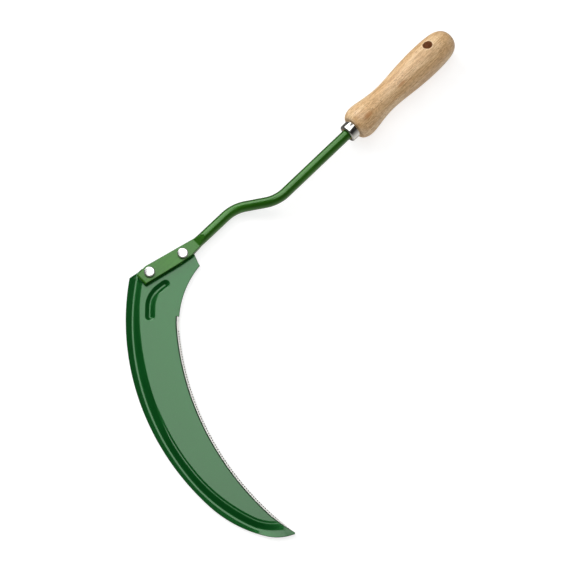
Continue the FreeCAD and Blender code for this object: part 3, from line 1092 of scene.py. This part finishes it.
def beech():
    """Turned beech: long pale figure, fine pores, short reddish flecks, two small marks and a painted
    highlight round the hanging hole's rim.
    """
    n = Surface("beech")
    figure = n.noise(n.mapped((9, 95, 95)), 1.0, 5.0, 0.6, 0.6)
    streaks = n.noise(n.mapped((40, 1100, 1100)), 1.0, 4.0, 0.7)
    lines = n.noise(n.mapped((26, 420, 420), location=(1.7, 0.4, 5.2)), 1.0, 3.0, 0.6, 0.4)
    pores = n.noise(n.mapped((260, 2600, 2600)), 1.0, 2.0)
    flecks = n.noise(n.mapped((230, 1500, 1500), location=(3.1, 7.7, 1.3)), 1.0, 1.0)
    colour = n.mix(n.spread(figure, 0.3, 0.7), (0.88, 0.665, 0.40), (0.71, 0.44, 0.20))
    for layer, low, high, strength, dark in (
        (lines, 0.5, 0.64, 0.55, (0.44, 0.225, 0.075)),
        (streaks, 0.5, 0.6, 0.5, (0.40, 0.20, 0.07)),
        (pores, 0.5, 0.66, 0.65, (0.33, 0.155, 0.05)),
        (flecks, 0.64, 0.7, 0.65, (0.30, 0.12, 0.04)),
    ):
        colour = n.mix(n.math("MULTIPLY", n.spread(layer, low, high), strength), colour, dark)
    for place, stretch, strength in WOOD_MARKS:
        colour = n.mix(wood_mark(n, place, stretch, strength, streaks), colour, (0.46, 0.19, 0.05))
    # Paler wood round the hanging hole: a painted highlight on the hole's rounded rim
    rim = n.spread(hole_distance(n), HOLE_RADIUS + 1.5, HOLE_RADIUS + 0.6)
    colour = n.mix(n.math("MULTIPLY", rim, 0.55), colour, (0.88, 0.68, 0.42))
    n.link(colour, n.shader.inputs["Base Color"])
    n.link(n.spread(streaks, 0.3, 0.8, 0.40, 0.55), n.shader.inputs["Roughness"])
    n.bump(n.math("ADD", n.math("MULTIPLY", pores, 0.6), streaks), 0.16, 0.0003)
    n.set(Coat_Weight=0.6, Coat_Roughness=0.34)
    return n.material


def hole_distance(n):
    """Distance in millimetres from the hanging hole's axis."""
    tilt = math.radians(HOLE_TILT)
    axis = Vector((0, math.sin(tilt), math.cos(tilt)))
    offset = n.vector("SUBTRACT", n.place, to_row((HOLE_X, 0, AXIS_HEIGHT)))
    across = n.vector("CROSS_PRODUCT", offset, axis)
    return n.math("MULTIPLY", n.vector("LENGTH", across, output="Value"), 1000.0)


def wood_mark(n, place, stretch, strength, streaks):
    """A soft dark mark in the wood, long along the grain, broken up by the streaks."""
    offset = n.vector("SUBTRACT", n.place, to_row(place))
    scaled = n.vector("MULTIPLY", offset, [1000 / size for size in stretch])
    near = n.spread(n.vector("LENGTH", scaled, output="Value"), 1.1, 0.5)
    broken = n.spread(streaks, 0.35, 0.6, 0.6, 1.0)
    return n.math("MULTIPLY", n.math("MULTIPLY", near, broken), strength)


def drilled_wood():
    """The drilled wall of the hanging hole: end fibres that have darkened."""
    n = Surface("drilled_wood")
    rings = n.noise(n.mapped((700, 300, 1900)), 1.0, 3.0)
    n.follow(rings, (0.38, 0.175, 0.07), (0.62, 0.31, 0.14), (0.3, 0.7, 0.7, 0.85))
    n.bump(rings, 0.3, 0.0004)
    return n.material


def floor_material():
    n = Surface("floor_paper")
    grain = n.noise(n.place, 60.0, 3.0)
    colour = n.mix(n.spread(grain, 0.3, 0.7), (0.34, 0.34, 0.34), (0.38, 0.38, 0.38))
    n.link(colour, n.shader.inputs["Base Color"])
    n.set(Roughness=0.9, Emission_Color=(1.0, 1.0, 1.0, 1.0), Emission_Strength=0.75)
    return n.material


# Stage


def stage():
    size = 6.0
    mesh = bpy.data.meshes.new("floor")
    corners = [(-size, -size, 0), (size, -size, 0), (size, size, 0), (-size, size, 0)]
    mesh.from_pydata(corners, [], [(0, 1, 2, 3)])
    mesh.materials.append(floor_material())
    floor = bpy.data.objects.new("floor", mesh)
    floor.location.z = -0.0002
    bpy.context.scene.collection.objects.link(floor)
    floor.visible_glossy = False
    bpy.context.scene.view_settings.view_transform = "Standard"


def backdrop():
    """A pale dome that only the camera sees, so that low views have a light background."""
    dome = bmesh.new()
    bmesh.ops.create_uvsphere(dome, u_segments=64, v_segments=32, radius=5.8)
    low = [vertex for vertex in dome.verts if vertex.co.z < -0.01]
    bmesh.ops.delete(dome, geom=low, context="VERTS")
    mesh = bpy.data.meshes.new("backdrop")
    dome.to_mesh(mesh)
    dome.free()
    n = Surface("backdrop_paper")
    shade = n.spread(n.noise(n.place, 0.6, 2.0), 0.3, 0.7)
    colour = n.mix(shade, (0.90, 0.90, 0.90), (0.94, 0.94, 0.94))
    n.link(colour, n.shader.inputs["Emission Color"])
    n.set(Roughness=0.9, Emission_Strength=1.0)
    mesh.materials.append(n.material)
    wall = bpy.data.objects.new("backdrop", mesh)
    bpy.context.scene.collection.objects.link(wall)
    wall.visible_glossy = False
    wall.visible_diffuse = False
    wall.visible_shadow = False


def surroundings():
    """The dim room round the lights, with pale paper low down on the near right side."""
    world = bpy.data.worlds.new("studio")
    world.use_nodes = True
    n = Nodes(world.node_tree)
    background = n.tree.nodes["Background"]
    place = n.add("ShaderNodeTexCoord").outputs["Generated"]
    facing = n.vector("DOT_PRODUCT", place, spot_direction(-135, 0), "Value")
    height = n.add("ShaderNodeSeparateXYZ")
    n.link(place, height.inputs[0])
    near_right = n.spread(facing, -0.2, 0.6, 0.10, 0.62)
    low_down = n.spread(height.outputs["Z"], 0.65, -0.45)
    strength = n.math("ADD", n.math("MULTIPLY", near_right, low_down), 0.02)
    n.link(strength, background.inputs["Strength"])
    background.inputs["Color"].default_value = (1.0, 0.97, 0.91, 1.0)
    bpy.context.scene.world = world


def spot_direction(turn, elevation):
    """A direction by its turn, counter-clockwise from the far side of the view, and height."""
    azimuth = math.radians(CAMERA_AZIMUTH + 90 + turn)
    level = math.radians(elevation)
    return Vector((
        math.cos(azimuth) * math.cos(level),
        math.sin(azimuth) * math.cos(level),
        math.sin(level),
    ))


def softbox(name, turn, elevation, distance, size, radiance, glossy=True):
    """A rectangular area light that faces the object, with the given radiance."""
    light = bpy.data.lights.new(name, "AREA")
    light.shape = "RECTANGLE"
    light.size, light.size_y = size
    light.energy = radiance * math.pi * size[0] * size[1]
    lamp = bpy.data.objects.new(name, light)
    toward = spot_direction(turn, elevation)
    lamp.location = Vector(CAMERA_TARGET) + toward * distance
    lamp.rotation_euler = toward.to_track_quat("Z", "Y").to_euler()
    lamp.visible_glossy = glossy
    lamp.visible_camera = False
    bpy.context.scene.collection.objects.link(lamp)


def lights():
    softbox("overhead", 0, 72, 1.9, (1.0, 1.15), 2.0)
    softbox("far_left", 30, 36, 2.2, (0.9, 1.7), 2.6)
    softbox("left_key", 55, 36, 2.2, (1.2, 1.2), 5.5, glossy=False)
    softbox("fill", 0, 88, 3.0, (4.0, 4.0), 1.0, glossy=False)


def camera():
    data = bpy.data.cameras.new("camera")
    data.lens = CAMERA_LENS
    data.sensor_width = 36.0
    view = bpy.data.objects.new("camera", data)
    back = spot_direction(-180, CAMERA_ELEVATION)
    view.location = Vector(CAMERA_TARGET) + back * CAMERA_DISTANCE
    view.rotation_euler = back.to_track_quat("Z", "Y").to_euler()
    bpy.context.scene.collection.objects.link(view)
    bpy.context.scene.camera = view


def main():
    camera()
    stage()
    backdrop()
    surroundings()
    lights()
    blade_paint = gloss_paint("blade_paint", (0.002, 0.115, 0.014), (0.003, 0.130, 0.017), 0.2, 0.6, 1.58)
    bar_paint = gloss_paint("bar_paint", (0.018, 0.118, 0.002), (0.032, 0.185, 0.005), 0.8, 0.5, 1.42)
    # Very dark, barely reflective paint on the lip by the ground bevel: painted shade along the paint's
    # edge
    shaded_paint_edge = gloss_paint("shaded_paint_edge", (0.001, 0.026, 0.004), (0.002, 0.036, 0.006), 0.2, 0.1, 1.15)
    blade(blade_paint, ground_steel(), shaded_tooth_gullets(), shaded_paint_edge)
    tang_rod(bar_paint)
    metal = rivet_metal()
    for node in RIVET_CENTRES:
        rivet(node, metal)
    ferrule(plated_steel())
    handle(beech(), drilled_wood())


main()
